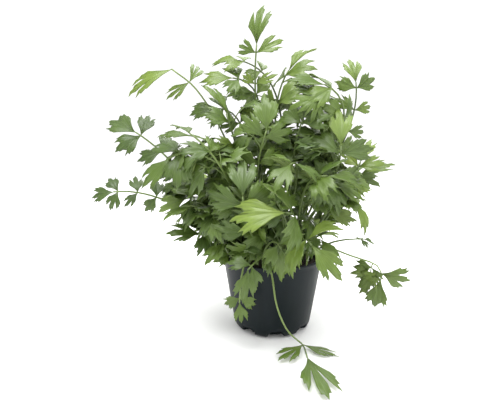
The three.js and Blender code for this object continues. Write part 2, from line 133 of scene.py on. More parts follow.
def calculated(tree, operation, *values, clamp=False):
    """The output of a math node."""
    settings = {"operation": operation, "use_clamp": clamp}
    inputs = {f"i{k}": value for k, value in enumerate(values)}
    return node(tree, "ShaderNodeMath", settings, **inputs).outputs[0]


def mapped(tree, value, before, after):
    """A value moved from one range to another."""
    ranges = {"From_Min": before[0], "From_Max": before[1], "To_Min": after[0], "To_Max": after[1]}
    return node(tree, "ShaderNodeMapRange", Value=value, **ranges).outputs["Result"]


def noise_field(tree, size, detail, squeeze=1.0):
    """A noise texture with features of about the size in mm, drawn out upwards by the squeeze."""
    coordinates = node(tree, "ShaderNodeTexCoord").outputs["Object"]
    place = node(tree, "ShaderNodeMapping", Vector=coordinates, Scale=(1, 1, squeeze))
    fed = {"Vector": place.outputs["Vector"], "Scale": 1 / (size * MM), "Detail": detail}
    return node(tree, "ShaderNodeTexNoise", **fed).outputs["Fac"]


def bumpy(tree, height, strength, depth):
    """The normal of a surface raised by the height, with the depth in mm."""
    made = node(tree, "ShaderNodeBump", Height=height, Strength=strength, Distance=depth * MM)
    return made.outputs["Normal"]


def surface(tree, colour, roughness, **inputs):
    """The shader of a plain surface."""
    looks = {"Base_Color": colour, "Roughness": roughness, **inputs}
    return node(tree, "ShaderNodeBsdfPrincipled", **looks).outputs["BSDF"]


# %% [markdown]
# Pot plastic
#
# A nursery pot is injection moulded from recycled polypropylene, coloured black. It isn't a pure
# black: the skin is satin, with a faint blue-grey cast. Flow marks run up the wall, and the tool
# leaves a fine grain. Both could be painted as images, but noise textures need no unwrapping. The
# true grain is finer than a pixel, so it is drawn about three times as coarse.

# %% Pot material
FLOW_MARK_WIDTH, FLOW_MARK_SQUEEZE = 6.0, 0.06  # mm, and the noise's scale upwards
GRAIN, GRAIN_DEPTH = 0.9, 0.2  # mm
PLASTIC_IOR = 1.26  # below the plastic's own 1.49: the grain takes off some of the gloss


def pot_plastic():
    """Nearly black, with a faint blue-grey cast and a satin shine that the flow marks break up."""
    made, tree = new_material("moulded_polypropylene")
    marks = noise_field(tree, FLOW_MARK_WIDTH, 2.0, FLOW_MARK_SQUEEZE)
    grain = noise_field(tree, GRAIN, 3.0)
    colour = ramp(tree, marks, (0.3, "0b1416"), (0.7, "0f181b"))
    roughness = mapped(tree, marks, (0.3, 0.7), (0.4, 0.5))
    normal = bumpy(tree, grain, 0.12, GRAIN_DEPTH)
    plastic = surface(tree, colour, roughness, Normal=normal, IOR=PLASTIC_IOR)
    node(tree, "ShaderNodeOutputMaterial", Surface=plastic)
    return made


# %% [markdown]
# Compost
#
# Potting compost is dark brown, moist, matt peat with lighter fibres and a few pale specks. Crumbs
# and fibres could all be modelled, but little of them shows. So a coarse noise colours the crumbs and
# a fine one raises the fibres.

# %% Compost material
CRUMB = 4.0  # mm
FIBRE, FIBRE_DEPTH = 0.8, 0.6  # mm


def compost():
    """Matt dark brown, with lighter crumbs and raised fibres."""
    made, tree = new_material("moist_peat_compost")
    crumbs = noise_field(tree, CRUMB, 6.0)
    fibres = noise_field(tree, FIBRE, 2.0)
    brown = ramp(tree, crumbs, (0.35, "17110c"), (0.6, "33261a"), (0.75, "4a3826"))
    soil = surface(tree, brown, 0.9, Normal=bumpy(tree, fibres, 0.6, FIBRE_DEPTH))
    node(tree, "ShaderNodeOutputMaterial", Surface=soil)
    return made


# %% [markdown]
# Leaf
#
# A lovage leaflet has a thin waxy cuticle over a deep green face, and a paler, duller back. A little
# light comes through it, yellow green. Subsurface scattering would do for a fleshy leaf. For a thin
# one it is quicker to mix a waxy surface with a translucent one. Veins fan out from the leaflet's
# root to its teeth. They follow the blade's own UV map: U runs across the fan and V from root to
# edge. Each leaflet also carries a tint, an attribute with one value for the whole leaflet, because
# no two leaflets of a plant are the same green. A stalk takes a tint too.

# %% Leaf materials
VEINS = 12.0  # spaces between main veins across the fan
VEIN_SHARE = 0.1  # of the space between two veins
VEIN_PALENESS = 0.5  # how far a vein goes from the leaf's green to its own colour
VEIN_DEPTH = -0.8  # of the bump between the veins
BLOTCH, BLOTCH_STRENGTH = 14, 0.3  # mm, and the share of the whole range of greens
CELL, CELL_DEPTH = 1.6, 0.2  # mm
LIGHT_THROUGH = 0.2  # the share of the light that comes through the blade


def leaf(name, greens, vein_colour, glow, roughness, ior):
    """Dull, plain or bright green with paler veins, a waxy shine and a glow of light coming through."""
    made, tree = new_material(name)
    tint = node(tree, "ShaderNodeAttribute", {"attribute_name": "tint"}).outputs["Fac"]
    uv = node(tree, "ShaderNodeUVMap", {"uv_map": "blade"}).outputs["UV"]
    across = node(tree, "ShaderNodeSeparateXYZ", Vector=uv).outputs["X"]
    # Distance to the nearest vein: a triangle wave of U.
    steps = calculated(tree, "MULTIPLY", across, VEINS)
    wave = calculated(tree, "PINGPONG", steps, 0.5)
    vein = mapped(tree, wave, (0.0, VEIN_SHARE), (1.0, 0.0))
    # The tint, made uneven by blotches, picks the green.
    blotches = noise_field(tree, BLOTCH, 3.0)
    darker = calculated(tree, "SUBTRACT", tint, BLOTCH_STRENGTH / 2)
    shade = calculated(tree, "MULTIPLY_ADD", blotches, BLOTCH_STRENGTH, darker, clamp=True)
    plain = ramp(tree, shade, *zip((0.0, 0.5, 1.0), greens))
    faint = calculated(tree, "MULTIPLY", vein, VEIN_PALENESS)
    colours = {"i6": plain, "i7": linear(vein_colour)}
    veined = node(tree, "ShaderNodeMix", {"data_type": "RGBA"}, i0=faint, **colours).outputs[2]
    # The blade is raised between its veins, and fine cells break up its shine.
    cells = noise_field(tree, CELL, 2.0)
    height = calculated(tree, "MULTIPLY_ADD", vein, VEIN_DEPTH, cells)
    normal = bumpy(tree, height, 0.25, CELL_DEPTH)
    waxy = surface(tree, veined, roughness, IOR=ior, Normal=normal)
    through = node(tree, "ShaderNodeBsdfTranslucent", Color=linear(glow)).outputs["BSDF"]
    both = node(tree, "ShaderNodeMixShader", i0=LIGHT_THROUGH, i1=waxy, i2=through)
    node(tree, "ShaderNodeOutputMaterial", Surface=both.outputs["Shader"])
    return made


def stalk_material():
    """Smooth and paler than the leaves, with a soft shine."""
    made, tree = new_material("fresh_stalk")
    tint = node(tree, "ShaderNodeAttribute", {"attribute_name": "tint"}).outputs["Fac"]
    colour = ramp(tree, tint, (0.0, "3c4a2a"), (0.6, "66793f"), (1.0, "93a862"))
    node(tree, "ShaderNodeOutputMaterial", Surface=surface(tree, colour, 0.42, IOR=1.45))
    return made


# %% [markdown]
# The pot
#
# The pot is a turned shape. Joined cones and rings would have sharp edges, so its section is drawn
# once, with every edge rounded, and spun round the upright axis. The drain notches are pressed into
# the spun wall by moving the vertices near the bottom inwards. The drain holes are patches of the
# underside and of the floor above it that are cut out and joined by a short wall.

# %% Pot sizes, in millimetres
POT_HEIGHT = 90
RIM_RADIUS = 61.5
LIP_HEIGHT, LIP_PROUD = 3, 0.8
WALL = 1.4
HEEL_RADIUS, HEEL_HEIGHT = 47.3, 9.5
FOOT_OUTER, FOOT_INNER = 37.5, 31
SEAT_RADIUS, UNDERCUT, FLOOR_TOP = 13, 2.5, 4.1
NOTCHES, FIRST_NOTCH = 8, -83  # their number, and the first one's angle in degrees
NOTCH_HEIGHT, NOTCH_WIDTH, NOTCH_TOP_WIDTH, NOTCH_FROM = 9, 21, 12, 34
HOLE_CIRCLE, HOLE_RADIUS = 22, 3
POT_STEPS = 240


def wall_radius(z):
    """The wall's outer radius at a height."""
    share = (z - HEEL_HEIGHT) / (POT_HEIGHT - HEEL_HEIGHT)
    return HEEL_RADIUS + share * (RIM_RADIUS - LIP_PROUD - HEEL_RADIUS)


# %% Mesh helpers
def finished(name, mesh_tool, materials, node_name):
    """Makes a smooth piece of a bmesh in millimetres. It stands for a CAD node and rides with it."""
    bmesh.ops.scale(mesh_tool, vec=(MM, MM, MM), verts=mesh_tool.verts)
    mesh = bpy.data.meshes.new(name)
    mesh_tool.to_mesh(mesh)
    mesh_tool.free()
    mesh.shade_smooth()
    for material in materials:
        mesh.materials.append(material)
    piece = bpy.data.objects.new(name, mesh)
    bpy.context.scene.collection.objects.link(piece)
    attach(piece, "root")
    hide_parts(node_name)
    print(name, "faces:", len(mesh.polygons))


def spun(section, steps):
    """A bmesh of a section of (radius, height) points, from the axis and back to it, spun round Z."""
    made = bmesh.new()
    points = [made.verts.new((r, 0, z)) for r, z in section]
    edges = [made.edges.new(pair) for pair in zip(points, points[1:])]
    axis = {"cent": (0, 0, 0), "axis": (0, 0, 1)}
    bmesh.ops.spin(made, geom=points + edges, angle=math.tau, steps=steps, use_merge=True, **axis)
    bmesh.ops.remove_doubles(made, verts=made.verts, dist=0.001)
    bmesh.ops.recalc_face_normals(made, faces=made.faces)
    return made


def arc(centre, radius, first, last, steps):
    """Points of an arc in the section, from one angle to another, in degrees."""
    angles = [math.radians(first + (last - first) * i / steps) for i in range(steps + 1)]
    return [(centre[0] + radius * math.cos(a), centre[1] + radius * math.sin(a)) for a in angles]


# %% Pot mesh
def pot_section():
    """The pot's section: along its underside, up its outside, down its inside and along its floor."""
    hole = (HOLE_CIRCLE - HOLE_RADIUS, HOLE_CIRCLE + HOLE_RADIUS)
    seat = [(0, 0), (SEAT_RADIUS - 0.4, 0), (SEAT_RADIUS + 0.4, 0.3), (SEAT_RADIUS + 2, UNDERCUT)]
    underside = [(hole[0], UNDERCUT), (hole[1], UNDERCUT), (FOOT_INNER - 2, UNDERCUT)]
    foot = [(FOOT_INNER - 0.3, 0.3), (FOOT_INNER + 0.4, 0)]
    heel = [(FOOT_OUTER, 0), (39.8, 0.25), (42.2, 1.1), (44.2, 2.4), (45.6, 4.2), (46.5, 6.2), (47, 8.0)]
    notch_top = [(wall_radius(z), z) for z in (NOTCH_HEIGHT - 0.1, NOTCH_HEIGHT + 0.4)]
    wall = [(wall_radius(z), z) for z in (14, 24, 36, 48, 60, 72, 82, POT_HEIGHT - LIP_HEIGHT - 0.2)]
    lip = [
        (wall_radius(POT_HEIGHT - LIP_HEIGHT) + 0.15, POT_HEIGHT - LIP_HEIGHT),
        (RIM_RADIUS - 0.2, POT_HEIGHT - LIP_HEIGHT + 0.45),
        *arc((RIM_RADIUS - 0.5, POT_HEIGHT - LIP_HEIGHT + 1.1), 0.5, -40, 0, 2),
        *arc((RIM_RADIUS - 0.6, POT_HEIGHT - 0.6), 0.6, 0, 90, 4),
        *arc((RIM_RADIUS - 1.6, POT_HEIGHT - 0.5), 0.5, 90, 180, 3),
    ]
    inner_wall = [(wall_radius(z) - WALL, z) for z in (85, 76, 60, 40, 24, 14, HEEL_HEIGHT)]
    floor = [(HEEL_RADIUS - WALL - 1.5, FLOOR_TOP + 2.2)]
    floor += [(r, FLOOR_TOP) for r in (FOOT_OUTER + 1.6, 30, hole[1], hole[0], 0)]
    return [*seat, *underside, *foot, *heel, *notch_top, *wall, *lip, *inner_wall, *floor]


def from_nearest(angle, first, count):
    """The angle in degrees to the nearest of count evenly spaced places."""
    space = 360 / count
    return abs((math.degrees(angle) - first + space / 2) % space - space / 2)


def press_notches(pot):
    """Moves the outer skin of the wall inwards where the notches are, and the inner skin above them."""
    for vert in pot.verts:
        x, y, z = vert.co
        r = math.hypot(x, y)
        # The inner skin stays a wall's thickness away.
        inner = z > FLOOR_TOP - 0.01 and r < wall_radius(max(z, HEEL_HEIGHT)) - 0.6 * WALL
        margin = WALL if inner else 0
        top = NOTCH_HEIGHT + margin
        deep = NOTCH_FROM - margin
        if z > top or r <= deep:
            continue
        half = (NOTCH_WIDTH + (NOTCH_TOP_WIDTH - NOTCH_WIDTH) * max(z, 0) / NOTCH_HEIGHT) / 2 + margin
        off = math.radians(from_nearest(math.atan2(y, x), FIRST_NOTCH, NOTCHES)) * max(r, FOOT_OUTER)
        if off < half:
            vert.co.x *= deep / r
            vert.co.y *= deep / r
            if inner:
                vert.co.z = max(z, top)


def in_hole(face):
    """Whether a face lies in a drain hole, half way between two notches."""
    centre = face.calc_center_median()
    turn = from_nearest(math.atan2(centre.y, centre.x), FIRST_NOTCH + 180 / NOTCHES, NOTCHES)
    aside = math.radians(turn) * HOLE_CIRCLE
    outwards = abs(math.hypot(centre.x, centre.y) - HOLE_CIRCLE)
    return outwards < HOLE_RADIUS and aside < HOLE_RADIUS


def cut_holes(pot):
    """Cuts the holes out of the underside and the floor, and joins their edges by a wall."""
    patches = [face for face in pot.faces if in_hole(face)]
    bmesh.ops.delete(pot, geom=patches, context="FACES")
    rims = [edge for edge in pot.edges if edge.is_boundary]
    for i in range(NOTCHES):
        angle = math.radians(FIRST_NOTCH + 360 / NOTCHES * (i + 0.5))
        centre = Vector((math.cos(angle), math.sin(angle))) * HOLE_CIRCLE
        middles = [(edge, (edge.verts[0].co + edge.verts[1].co) / 2) for edge in rims]
        near = [edge for edge, middle in middles if (middle.xy - centre).length < 3 * HOLE_RADIUS]
        bmesh.ops.bridge_loops(pot, edges=near)


def make_pot():
    pot = spun(pot_section(), POT_STEPS)
    press_notches(pot)
    cut_holes(pot)
    bmesh.ops.recalc_face_normals(pot, faces=pot.faces)
    finished("pot_moulded", pot, [pot_plastic()], "pot")


make_pot()

# %% [markdown]
# The compost
#
# The compost fills the pot to about ten millimetres below the rim. A displace modifier could roughen
# it, but its crumbs have to know where the surface is. So one function gives its height at each
# place: a spun disc with many rings is raised and lowered by it, and loose crumbs, small ico
# spheres, are pushed half into it.

# %% Compost mesh
SOIL_EDGE, SOIL_TOP = 79, 82
SOIL_GAP = 0.4  # mm, between the compost and the pot
SOIL_RINGS, SOIL_STEPS = 26, 96
MOUND_RADIUS, MOUND_SLOPE = 33, 22  # mm: the level middle, and the slope round it
LUMP, LUMP_HEIGHT = 9, 1.1  # mm
GRIT, GRIT_HEIGHT = 3, 0.7  # mm
LOWERED = 0.8  # mm, to make room for the lumps
CRUMBS, CRUMB_FIELD = 220, 52  # their number, and how far from the axis they lie
CRUMB_SIZE = (0.6, 2.1)  # mm


def draws(seed):
    """Random numbers from 0 to 1, the same ones that placed the fronds of the frame."""
    state = seed & 0xFFFFFFFF

    def draw():
        nonlocal state
        state = (state + 0x6D2B79F5) & 0xFFFFFFFF
        t = ((state ^ (state >> 15)) * (1 | state)) & 0xFFFFFFFF
        t = ((t + (((t ^ (t >> 7)) * (61 | t)) & 0xFFFFFFFF)) & 0xFFFFFFFF) ^ t
        return ((t ^ (t >> 14)) & 0xFFFFFFFF) / 4294967296

    return draw


def between(draw, low, high):
    """A drawn value from low to high."""
    return low + (high - low) * draw()


def either_way(draw, most):
    """A drawn value from -most to most."""
    return most * (2 * draw() - 1)


def soil_height(x, y):
    """The compost's level: a low mound with lumps and grit."""
    slope = (math.hypot(x, y) - MOUND_RADIUS) / MOUND_SLOPE
    mound = SOIL_TOP - (SOIL_TOP - SOIL_EDGE) * min(1, max(0, slope))
    lumps = noise.noise(Vector((x, y, 0)) / LUMP)
    grit = noise.noise(Vector((x, y, 40)) / GRIT)
    return mound - LOWERED + LUMP_HEIGHT * lumps + GRIT_HEIGHT * grit


def add_crumb(soil, draw):
    """Adds a flattened, turned ico sphere."""
    r, angle = CRUMB_FIELD * math.sqrt(draw()), math.tau * draw()
    x, y = r * math.cos(angle), r * math.sin(angle)
    size = CRUMB_SIZE[0] + (CRUMB_SIZE[1] - CRUMB_SIZE[0]) * draw() ** 2
    place = Matrix.Translation((x, y, soil_height(x, y) + 0.3 * size))
    turn = Matrix.Rotation(math.tau * draw(), 4, "X")
    flattened = Matrix.Diagonal((size, 0.7 * size, 0.8 * size, 1))
    bmesh.ops.create_icosphere(soil, subdivisions=1, radius=1, matrix=place @ turn @ flattened)


def make_soil():
    edge = wall_radius(SOIL_EDGE) - WALL - SOIL_GAP
    bottom = [(0, FLOOR_TOP + SOIL_GAP), (36, FLOOR_TOP + SOIL_GAP), (41, 12)]
    top = [(edge * i / SOIL_RINGS, SOIL_EDGE) for i in range(SOIL_RINGS, -1, -1)]
    soil = spun([*bottom, *top], SOIL_STEPS)
    for vert in soil.verts:
        if vert.co.z > SOIL_EDGE - 1:
            vert.co.z = soil_height(vert.co.x, vert.co.y)
    draw = draws(7)
    for _ in range(CRUMBS):
        add_crumb(soil, draw)
    finished("compost", soil, [compost()], "soil")


make_soil()

# %% [markdown]
# Where the fronds grow
#
# The frame's fronds were placed by a planting rule: most of them one by one, the rest over a dome,
# each with a site in the compost and a seeded bend that keeps it clear of the others. Leaflets
# scattered at random wouldn't follow them. To dress a frond, its stalk and its leaflets have to be
# known again, not just its box. So the same rule is worked through here, and for each frond the bend
# is picked whose box is the box of its node.

# %% The planting rule
STEM_ROOT_RADIUS, STEM_STUB, STEM_SUNK = 2.2, 2, 8
SITE_COUNT, SITE_RADIUS, GOLDEN_ANGLE = 56, 47, 137.508
MOST_TRIES = 150
GOOD_MISS = 4  # mm, over the six sides of a box
BENT_PLACE, BENT_SWAY, BENT_TURN, BENT_AFTER = 16, 26, 28, 60
PAIR_FIRST, PAIR_SPACING, PAIR_SIZE, PAIR_SHRINK, PAIR_SPREAD = 0.18, 0.7, 0.84, 0.04, 66
SHOULDER_ALONG = 0.47
LOBE_ALONG, LOBE_WIDTH, SINUS_WIDTH = 0.81, 0.84, 0.3
MOST_OUTWARDS = 38  # degrees from upright, at the foot of a stalk that leans all the way
FOOT_HANDLE, END_HANDLE = 0.4, 0.3  # of the span from a stalk's foot to its end


def set_frond(at, azimuth, pitch, roll, size, pairs, more=None):
    """A frond: where its end leaflets join, how its end leaflet points, and its size in mm."""
    turns = {"azimuth": azimuth, "pitch": pitch, "roll": roll}
    return {"at": at, **turns, "size": size, "pairs": pairs, **(more or {})}


TRAILING = [(-5, -58, 103), (0, -69, 84), (5, -70, 52), (16, -68, 24), (29, -63, 8), (35, -67, 4.4)]
HANGING = [(-27, -57, 103), (-33, -67, 84)]
LEANING = [(50, -32, 110), (90, -31, 97), (116, -30, 88), (124, -30, 80)]
ARCHING = [(-24, -8, 150), (-60, -10, 238), (-88, -10, 284)]
ARCH_LEAVES = {"slim": 0.62, "pair_at": 0.4, "pair_size": 0.6, "pair_spread": 75, "sinus": 0.36}
GROUND_LEAVES = {"slim": 0.7, "pair_at": 0.5, "pair_size": 0.62, "pair_spread": 52, "sinus": 0.3}
# Each row: the joint of the end leaflets in mm, the azimuth, pitch and roll of the end leaflet in
# degrees, its length in mm and the number of leaflet pairs after the first one. A sinus is the reach
# of the cut between two lobes, where it is deeper than usual. Flat leaflets lie on the ground.
SET_FRONDS = [
    ((41, -95, 4), -76, 0, 0, 68, 0, {"along": TRAILING, "flat": True, **GROUND_LEAVES}),
    ((-35, -74, 56), -70, -62, 10, 26, 0, {"along": HANGING}),
    ((14, -112, 160), -165, 12, -55, 60, 0),
    ((30, -108, 140), -25, -12, 45, 50, 0),
    ((-30, -90, 174), 95, 66, 0, 52, 2),
    ((18, -99, 120), -80, -52, 0, 36, 1),
    ((-12, -94, 112), -110, -50, 0, 32, 1),
    ((-43, -62, 122), -139, -22, 0, 38, 1),
    ((50, -66, 122), -50, -36, 0, 38, 1),
    ((-20, 0, 334), 60, 80, 0, 50, 2, {"slim": 0.75, "pair_size": 0.64, "sinus": 0.45}),
    ((-116, -10, 307), -170, -16, -40, 62, 0, {"along": ARCHING, **ARCH_LEAVES}),
    ((-164, 0, 236), 172, 30, -50, 44, 2),
    ((-107, -60, 211), -160, -34, -30, 54, 1),
    ((-187, -20, 167), -172, -6, -55, 32, 2),
    ((-52, -20, 259), 160, 66, 0, 48, 2),
    ((-46, 10, 297), -170, 4, -50, 40, 2),
    ((95, 10, 293), 180, 82, -80, 36, 2),
    ((125, -30, 69), 170, -80, -78, 42, 0, {"along": LEANING}),
    ((110, 0, 108), 4, -8, 20, 18, 0),
    ((69, -60, 222), 88, 72, 0, 46, 2),
    ((56, -74, 192), -5, 6, 25, 50, 0),
    ((76, -50, 176), -45, -40, 0, 42, 1),
    ((24, -88, 204), -120, -15, 0, 42, 1),
    ((34, -44, 246), 70, 62, 0, 40, 2),
    ((-76, -46, 122), -165, 4, -40, 38, 1),
    ((16, 10, 307), 25, 46, 10, 48, 2),
    ((57, -30, 280), -165, 32, -25, 50, 2),
    ((4, -50, 241), 120, 62, 0, 42, 2),
    ((-14, -76, 206), -150, 46, 30, 42, 1),
    ((-90, -60, 154), -140, -8, 0, 42, 1),
    ((-70, -70, 186), 170, 40, 0, 44, 1),
    ((-40, -10, 272), -130, 30, 20, 40, 1),
    ((80, 0, 234), 20, 20, 30, 40, 1),
    ((-98, -44, 221), 140, 50, 0, 42, 1),
    ((-94, -50, 162), 175, 24, -40, 44, 1),
    ((-78, -58, 140), 178, -4, -45, 44, 1),
    ((-62, -52, 114), -150, -18, -30, 38, 1),
    ((6, 20, 302), 85, 60, 0, 42, 1),
    ((102, 0, 202), 40, 62, 20, 36, 1),
    ((-93, -20, 166), -176, -14, -55, 42, 1),
    ((-62, 4, 268), 178, 8, -55, 38, 1),
    ((-31, 16, 306), 176, 14, -50, 36, 1),
]
FILL_COUNT = 12
FILL_CENTRE = Vector((-8, 18, 96))
FILL_UP, FILL_OUT, FILL_FIRST_POLAR, FILL_LAST_POLAR = 208, 100, 11, 88
FRONT_AZIMUTH, FRONT_SPREAD = -90, 56


def direction(azimuth, pitch):
    """A direction from its azimuth (0 is +X, 90 is +Y) and its pitch above the horizon, in degrees."""
    a, p = math.radians(azimuth), math.radians(pitch)
    return Vector((math.cos(a) * math.cos(p), math.sin(a) * math.cos(p), math.sin(p)))


def squared_to(axis, vector):
    """The vector without its part along the axis, at unit length."""
    return (vector - axis * vector.dot(axis)).normalized()


def fill_frond(i):
    """One of the fronds that are spread over a dome, all but its front."""
    draw = draws(1000 + i)
    share = (i + 0.5) / FILL_COUNT
    polar = FILL_FIRST_POLAR + (FILL_LAST_POLAR - FILL_FIRST_POLAR) * math.sqrt(share)
    turn = (i * GOLDEN_ANGLE % 360) / 360 * (360 - 2 * FRONT_SPREAD)
    azimuth = FRONT_AZIMUTH + FRONT_SPREAD + turn
    shell = 0.66 if i % 3 == 2 else 0.92 + 0.12 * draw()
    upright, flat = math.cos(math.radians(polar)), math.sin(math.radians(polar))
    reach = shell * math.hypot(FILL_UP * upright, FILL_OUT * flat)
    at = direction(azimuth, 90 - polar) * reach + FILL_CENTRE
    azimuth += either_way(draw, 15)
    pitch = 58 - 0.85 * polar + either_way(draw, 10)
    roll = either_way(draw, 25)
    return set_frond(tuple(at), azimuth, pitch, roll, between(draw, 40, 52), 1 + i % 2, {"give": 1.5})


def with_sites(fronds):
    """Gives each frond the nearest free site in the compost, and how far it leans."""
    free = []
    for k in range(SITE_COUNT):
        r, a = SITE_RADIUS * math.sqrt((k + 0.5) / SITE_COUNT), math.radians(k * GOLDEN_ANGLE)
        free.append(Vector((r * math.cos(a), r * math.sin(a))))
    for frond in fronds:
        x, y, z = frond["at"]
        lean = min(1, 1.1 * math.hypot(x, y) / (max(0, z - SOIL_TOP) + 60))
        wish = Vector((x, y)).normalized() * (SITE_RADIUS * lean)
        nearest = min(free, key=lambda site: (site - wish).length)
        free.remove(nearest)
        frond.update(site=nearest, lean=lean)
    return fronds


def bent(frond, index, attempt):
    """The frond at one of its seeded bends. The first one isn't bent."""
    if attempt == 0:
        return frond
    draw = draws(index * 1000 + attempt)
    amount = min(1, 0.15 + attempt / BENT_AFTER) * frond.get("give", 1)
    at = tuple(value + either_way(draw, BENT_PLACE * amount) for value in frond["at"])
    sway = (either_way(draw, BENT_SWAY * amount), either_way(draw, BENT_SWAY * amount), 0)
    turns = ("azimuth", "pitch", "roll")
    turned = {key: frond[key] + either_way(draw, BENT_TURN * amount) for key in turns}
    return {**frond, "at": at, "sway": sway, **turned}


# %% [markdown]
# Stalk curves
#
# A stalk that stands free is a cubic Bezier curve: it leaves the compost nearly upright and arrives
# at its leaflets in their direction. A trailing stalk is a smooth curve through chosen points. Curve
# objects could draw both, but leaflets have to be set a given distance from the end, so the curves
# are worked out here and measured along their length.

# %% Curves
class Stalk:
    """A curve from the compost to the end leaflets, measured along its length."""

    STEPS = 200

    def __init__(self, frond):
        start = Vector((*frond["site"], SOIL_TOP + STEM_STUB))
        end = Vector(frond["at"])
        self.along = [start, *map(Vector, frond["along"]), end] if "along" in frond else None
        if not self.along:
            span = (end - start).length
            outwards = math.radians(MOST_OUTWARDS * frond["lean"])
            side = Vector((*(end - start).xy, 0)).normalized()
            rise = Vector((0, 0, math.cos(outwards))) + side * math.sin(outwards)
            sway = Vector(frond.get("sway", (0, 0, 0)))
            heading = direction(frond["azimuth"], frond["pitch"])
            above_foot = start + rise * (FOOT_HANDLE * span) + sway
            before_end = end - heading * (END_HANDLE * span) + sway
            self.handles = (start, above_foot, before_end, end)
        points = [self.point(i / self.STEPS) for i in range(self.STEPS + 1)]
        self.lengths = [0.0]
        for a, b in zip(points, points[1:]):
            self.lengths.append(self.lengths[-1] + (b - a).length)
        self.length = self.lengths[-1]

    def point(self, t):
        if self.along:
            return self.through(t)
        a, b, c, d = self.handles
        s = 1 - t
        return a * s**3 + b * (3 * s * s * t) + c * (3 * s * t * t) + d * t**3

    def through(self, t):
        """A Catmull-Rom curve through the chosen points."""
        points = self.along
        last = len(points) - 1
        piece = min(int(t * last), last - 1)
        w = t * last - piece
        b, c = points[piece], points[piece + 1]
        a = points[piece - 1] if piece > 0 else 2 * b - c
        d = points[piece + 2] if piece + 2 <= last else 2 * c - b
        start, end = 0.5 * (c - a), 0.5 * (d - b)
        square = 3 * (c - b) - 2 * start - end
        cube = 2 * (b - c) + start + end
        return b + start * w + square * w**2 + cube * w**3

    def place(self, share):
        """The curve's own measure for a share of its length."""
        target = share * self.length
        i = next((k for k in range(1, len(self.lengths)) if self.lengths[k] >= target), self.STEPS)
        before, after = self.lengths[i - 1], self.lengths[i]
        return (i - 1 + (target - before) / max(after - before, 1e-9)) / self.STEPS

    def at(self, share):
        return self.point(self.place(share))

    def heading(self, share):
        t = self.place(share)
        return (self.point(min(1, t + 0.001)) - self.point(max(0, t - 0.001))).normalized()


# %% Leaflets of a frond
# The least and the most of each drawn value: angles in degrees, the rest as shares.
TURN, LIFT, LENGTH, WIDTH = (-9, 9), (-0.2, 0.22), (0.88, 1.1), (0.27, 0.39)
CUT, BEND, FOLD = (0.14, 0.26), (0.25, 0.85), (-0.12, 0.3)
FLAT_LOOSENESS = 0.05  # of a leaflet that lies on the ground


def pair_joints(frond, stalk):
    """Where the leaflet pairs join, as shares of the stalk's length."""
    first = frond.get("pair_at", PAIR_FIRST)
    distances = [frond["size"] * (first + PAIR_SPACING * pair) for pair in range(frond["pairs"] + 1)]
    return [max(0.25, 1 - distance / stalk.length) for distance in distances]


def leaflet_at(root, axis, normal, length):
    """A leaflet, with its shape still to be set."""
    return {"root": root, "axis": axis, "face": squared_to(axis, normal), "length": length}


def leaflets_of(frond, index, stalk):
    """The leaflets of a frond, in the frame's own order."""
    draw = draws(index + 1)
    end = direction(frond["azimuth"], frond["pitch"])
    up_face = direction(frond["azimuth"], frond["pitch"] + 90)
    up_face.rotate(Matrix.Rotation(math.radians(frond["roll"]), 3, end))
    loose = FLAT_LOOSENESS if frond.get("flat") else 1
    leaflets = []

    def add(root, tangent, side, spread, size):
        normal = squared_to(tangent, up_face)
        across = normal.cross(tangent)
        turn = math.radians(side * (spread + between(draw, *TURN)))
        axis = tangent * math.cos(turn) + across * math.sin(turn)
        axis = (axis + normal * (loose * between(draw, *LIFT))).normalized()
        made = leaflet_at(root, axis, normal, size * between(draw, *LENGTH))
        made["width"] = between(draw, *WIDTH) * frond.get("slim", 1)
        made["cut"] = between(draw, *CUT)
        made["bend"] = loose * between(draw, *BEND)
        made["fold"] = loose * between(draw, *FOLD)
        leaflets.append(made)

    add(stalk.point(1), end, 0, 0, frond["size"])
    for pair, share in enumerate(pair_joints(frond, stalk)):
        size = frond["size"] * (frond.get("pair_size", PAIR_SIZE) - PAIR_SHRINK * pair)
        for side in (-1, 1):
            add(stalk.at(share), stalk.heading(share), side, frond.get("pair_spread", PAIR_SPREAD), size)
    return leaflets


def on_blade(leaflet, u, v, lift=0.0):
    """A point of an arched, folded leaflet: u along it, v across, as shares of its length."""
    bend, fold, length = leaflet["bend"], leaflet["fold"], leaflet["length"]
    axis, face = leaflet["axis"], leaflet["face"]
    across = face.cross(axis)
    sine, cosine = math.sin(bend * u), math.cos(bend * u)
    along = axis * (length * sine / bend) - face * (length * (1 - cosine) / bend)
    side = across * (length * v * math.cos(fold))
    rise = (face * cosine + axis * sine) * (length * abs(v) * math.sin(fold) + lift)
    return leaflet["root"] + along + side + rise


def plain_box(leaflets, stalk):
    """The low and high corner of the box of the frame's plain blades and stalk, in one list."""
    points = []
    for leaflet in leaflets:
        width, cut = leaflet["width"], leaflet["cut"]
        half = [(SHOULDER_ALONG, width), (LOBE_ALONG, LOBE_WIDTH * width)]
        half.append((LOBE_ALONG - cut, SINUS_WIDTH * width))
        outline = [(0, 0), (1, 0), *half, *((u, -v) for u, v in half)]
        points += [on_blade(leaflet, u, v) for u, v in outline]
    foot = Vector((*stalk.point(0).xy, SOIL_TOP - STEM_SUNK))
    for x, y in ((-1, 0), (1, 0), (0, -1), (0, 1)):
        points.append(foot + Vector((x, y, 0)) * STEM_ROOT_RADIUS)
    points += [stalk.point(i / 20) for i in range(21)]
    low = [min(p[i] for p in points) for i in range(3)]
    high = [max(p[i] for p in points) for i in range(3)]
    return low + high


